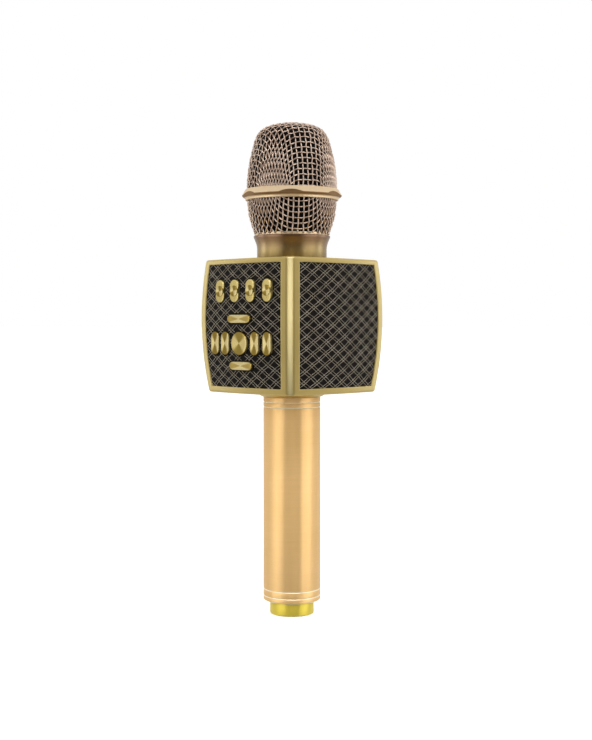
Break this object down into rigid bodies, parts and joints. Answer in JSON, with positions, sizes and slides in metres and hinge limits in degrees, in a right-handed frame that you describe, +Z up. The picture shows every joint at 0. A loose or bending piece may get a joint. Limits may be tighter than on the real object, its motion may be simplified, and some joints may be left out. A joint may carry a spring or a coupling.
{
  "type": "karaoke microphone",
  "caption": "Hand-held karaoke microphone with a wire-mesh head, a four-sided speaker box with a key panel, and a slim battery handle.",
  "frame": {"origin": "centre of the tail cap's bottom face, on the handle's axis", "axes": "+Z up the handle towards the mesh head; -Y out of the key panel; +X out of the right-hand speaker face"},
  "size_m": [0.075, 0.0762, 0.263],
  "materials": {
    "mesh": "champagne-plated woven steel wire",
    "band": "satin champagne",
    "foam": "open-cell foam",
    "rubber": "matt",
    "collar_gold": "brushed, anodised bronze gold",
    "steel": "zinc plated",
    "black_plastic": "moulded, fine texture",
    "box_gold": "satin olive gold",
    "panel_weave": "black with a woven silver-grey lattice",
    "circuit_board": "solder mask",
    "key_gold": "plated, spun finish",
    "cable": "insulated wire",
    "magnet": "sintered ferrite and plated steel",
    "copper": "enamelled copper wire",
    "cone_paper": "pressed paper pulp",
    "handle_gold": "satin champagne-gold anodising",
    "brass": "turned",
    "tail_gold": "polished yellow gold",
    "cell_wrap": "shrink wrap"
  },
  "bodies": {
    "housing": {"capsule_mount": "rubber", "right_speaker_surround": "rubber", "left_speaker_surround": "rubber", "bass_surround": "rubber", "neck_collar": "collar_gold", "collar_screws": "steel", "cover_screws": "steel", "rocker_shaft": "steel", "usb_port": "steel", "card_slot": "steel", "mic_capsule": "steel", "capsule_post": "black_plastic", "speaker_chassis": "black_plastic", "rocker_bracket": "black_plastic", "audio_jack": "black_plastic", "pcb_components": "black_plastic", "battery_sleeve": "black_plastic", "right_speaker_basket": "black_plastic", "left_speaker_basket": "black_plastic", "tact_switches": "black_plastic", "box_frame": "box_gold", "bottom_cover": "box_gold", "front_panel": "panel_weave", "right_grille": "panel_weave", "left_grille": "panel_weave", "rear_grille": "panel_weave", "control_pcb": "circuit_board", "main_pcb": "circuit_board", "wiring": "cable", "right_speaker_magnet": "magnet", "left_speaker_magnet": "magnet", "handle_tube": "handle_gold", "tail_bushing": "brass", "battery_cell": "cell_wrap"},
    "gasket": {"head_gasket": "rubber"},
    "head": {"grille_upper": "mesh", "grille_lower": "mesh", "grille_band": "band", "grille_base_ring": "band", "foam_liner": "foam"},
    "tail_seal": {"tail_oring": "rubber"},
    "tail": {"tail_cap": "tail_gold", "battery_spring": "steel"},
    "volume_rocker": {"rocker_volume": "key_gold"},
    "echo_rocker": {"rocker_echo": "key_gold"},
    "treble_rocker": {"rocker_treble": "key_gold"},
    "bass_rocker": {"rocker_bass": "key_gold"},
    "mode_button": {"button_mode": "key_gold"},
    "play_button": {"button_play": "key_gold"},
    "previous_button": {"button_previous": "key_gold"},
    "record_button": {"button_record": "key_gold"},
    "power_button": {"button_power": "key_gold"},
    "accompany_button": {"button_accompany": "key_gold"},
    "next_button": {"button_next": "key_gold"},
    "right_cone": {"right_speaker_cone": "cone_paper", "right_speaker_coil": "copper"},
    "left_cone": {"left_speaker_cone": "cone_paper", "left_speaker_coil": "copper"},
    "bass_cone": {"bass_diaphragm": "cone_paper"}
  },
  "joints": [
    {"name": "head_lift", "type": "slide", "parent": "housing", "child": "gasket", "axis": [0, 0, 1], "range_m": [0, 0.0046]},
    {"name": "head_turn", "type": "hinge", "parent": "gasket", "child": "head", "pos_m": [0, 0, 0.2034], "axis": [0, 0, 1], "range_deg": [0, 1080]},
    {"name": "tail_drop", "type": "slide", "parent": "housing", "child": "tail_seal", "axis": [0, 0, -1], "range_m": [0, 0.0038]},
    {"name": "tail_turn", "type": "hinge", "parent": "tail_seal", "child": "tail", "pos_m": [0, 0, 0.0075], "axis": [0, 0, -1], "range_deg": [0, 1080]},
    {"name": "volume_rock", "type": "hinge", "parent": "housing", "child": "volume_rocker", "pos_m": [-0.01607, -0.033, 0.1722], "axis": [1, 0, 0], "range_deg": [-5, 5]},
    {"name": "echo_rock", "type": "hinge", "parent": "housing", "child": "echo_rocker", "pos_m": [-0.00413, -0.033, 0.1722], "axis": [1, 0, 0], "range_deg": [-5, 5]},
    {"name": "treble_rock", "type": "hinge", "parent": "housing", "child": "treble_rocker", "pos_m": [0.00783, -0.033, 0.1722], "axis": [1, 0, 0], "range_deg": [-5, 5]},
    {"name": "bass_rock", "type": "hinge", "parent": "housing", "child": "bass_rocker", "pos_m": [0.01978, -0.033, 0.1722], "axis": [1, 0, 0], "range_deg": [-5, 5]},
    {"name": "mode_press", "type": "slide", "parent": "housing", "child": "mode_button", "axis": [0, 1, 0], "range_m": [0, 0.0006]},
    {"name": "play_press", "type": "slide", "parent": "housing", "child": "play_button", "axis": [0, 1, 0], "range_m": [0, 0.0006]},
    {"name": "previous_press", "type": "slide", "parent": "housing", "child": "previous_button", "axis": [0, 1, 0], "range_m": [0, 0.0006]},
    {"name": "record_press", "type": "slide", "parent": "housing", "child": "record_button", "axis": [0, 1, 0], "range_m": [0, 0.0006]},
    {"name": "power_press", "type": "slide", "parent": "housing", "child": "power_button", "axis": [0, 1, 0], "range_m": [0, 0.0006]},
    {"name": "accompany_press", "type": "slide", "parent": "housing", "child": "accompany_button", "axis": [0, 1, 0], "range_m": [0, 0.0006]},
    {"name": "next_press", "type": "slide", "parent": "housing", "child": "next_button", "axis": [0, 1, 0], "range_m": [0, 0.0006]},
    {"name": "right_cone_travel", "type": "slide", "parent": "housing", "child": "right_cone", "axis": [1, 0, 0], "range_m": [-0.001, 0.001]},
    {"name": "left_cone_travel", "type": "slide", "parent": "housing", "child": "left_cone", "axis": [1, 0, 0], "range_m": [-0.001, 0.001]},
    {"name": "bass_cone_travel", "type": "slide", "parent": "housing", "child": "bass_cone", "axis": [0, 1, 0], "range_m": [-0.0015, 0.0015]}
  ],
  "couplings": [
    {"joint": "head_lift", "follows": "head_turn", "m_per_rad": 0.00023873},
    {"joint": "tail_drop", "follows": "tail_turn", "m_per_rad": 0.00019894}
  ]
}
